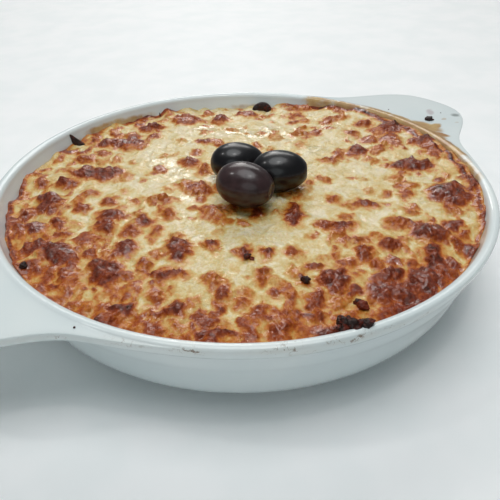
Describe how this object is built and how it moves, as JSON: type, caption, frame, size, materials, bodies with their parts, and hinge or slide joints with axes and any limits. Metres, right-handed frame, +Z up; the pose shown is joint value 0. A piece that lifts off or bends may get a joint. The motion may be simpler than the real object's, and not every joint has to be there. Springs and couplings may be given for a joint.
{
  "type": "eared baking dish of creamy baked cod",
  "caption": "Round white gratin dish with two ear handles, filled with creamy baked cod under a blistered browned crust, with black olives on top.",
  "frame": {"origin": "centre of the foot, on the surface that the dish stands on", "axes": "+Z up, +X through one handle, +Y across the dish between the handles"},
  "size_m": [0.2686, 0.1996, 0.0502],
  "materials": {
    "porcelain": "smooth glossy white glaze",
    "crust": "creamy yellow crust with glossy browned blisters",
    "olive": "wet black skin with soft gloss"
  },
  "bodies": {
    "root": {"gratin_dish": "porcelain", "baked_cod": "crust", "olive_front": "olive", "olive_right": "olive", "olive_back": "olive"}
  },
  "joints": []
}
